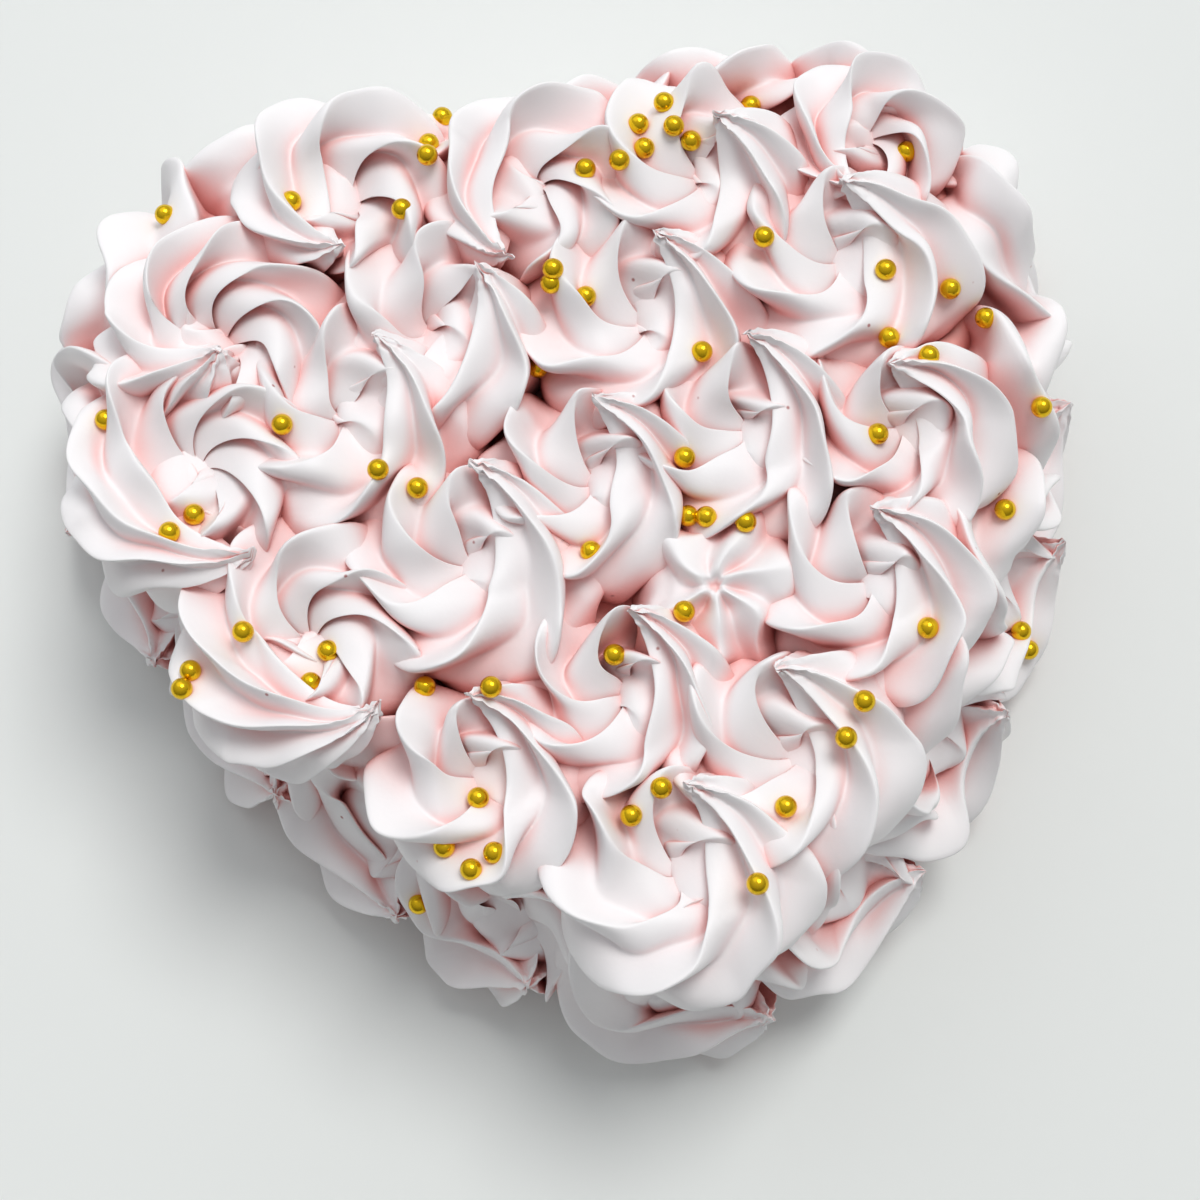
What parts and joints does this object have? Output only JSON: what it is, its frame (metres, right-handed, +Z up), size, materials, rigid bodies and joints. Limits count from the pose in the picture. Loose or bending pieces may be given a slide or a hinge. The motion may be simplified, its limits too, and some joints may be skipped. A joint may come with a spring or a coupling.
{
  "type": "heart rosette cake",
  "caption": "Heart-shaped sponge cake covered on top and round the side with piped pale pink cream rosettes and scattered gold sugar pearls.",
  "frame": {"origin": "centre of the bounding box on the base plane, on the cake's flat underside", "axes": "+Z up, -Y towards the heart's point, +Y towards the cleft, +X to the right of a viewer at the point"},
  "size_m": [0.2159, 0.2115, 0.072],
  "materials": {
    "sponge": "dark red cake crumb, dull and open-grained",
    "cream": "very pale pink whipped cream, smooth, soft sheen, light scattering inside",
    "pearls": "polished gold lustre sugar pearls"
  },
  "bodies": {
    "root": {"sponge": "sponge", "top_rosette_01": "cream", "top_rosette_02": "cream", "top_rosette_03": "cream", "top_rosette_04": "cream", "top_rosette_05": "cream", "top_rosette_06": "cream", "top_rosette_07": "cream", "top_rosette_08": "cream", "top_rosette_09": "cream", "top_rosette_10": "cream", "top_rosette_11": "cream", "top_rosette_12": "cream", "top_rosette_13": "cream", "top_rosette_14": "cream", "top_rosette_15": "cream", "top_rosette_16": "cream", "top_rosette_17": "cream", "top_rosette_18": "cream", "top_rosette_19": "cream", "top_rosette_20": "cream", "top_rosette_21": "cream", "side_rosette_01": "cream", "side_rosette_02": "cream", "side_rosette_03": "cream", "side_rosette_04": "cream", "side_rosette_05": "cream", "side_rosette_06": "cream", "side_rosette_07": "cream", "side_rosette_08": "cream", "side_rosette_09": "cream", "side_rosette_10": "cream", "side_rosette_11": "cream", "side_rosette_12": "cream", "side_rosette_13": "cream", "side_rosette_14": "cream", "side_rosette_15": "cream", "side_rosette_16": "cream", "side_rosette_17": "cream"}
  },
  "joints": []
}
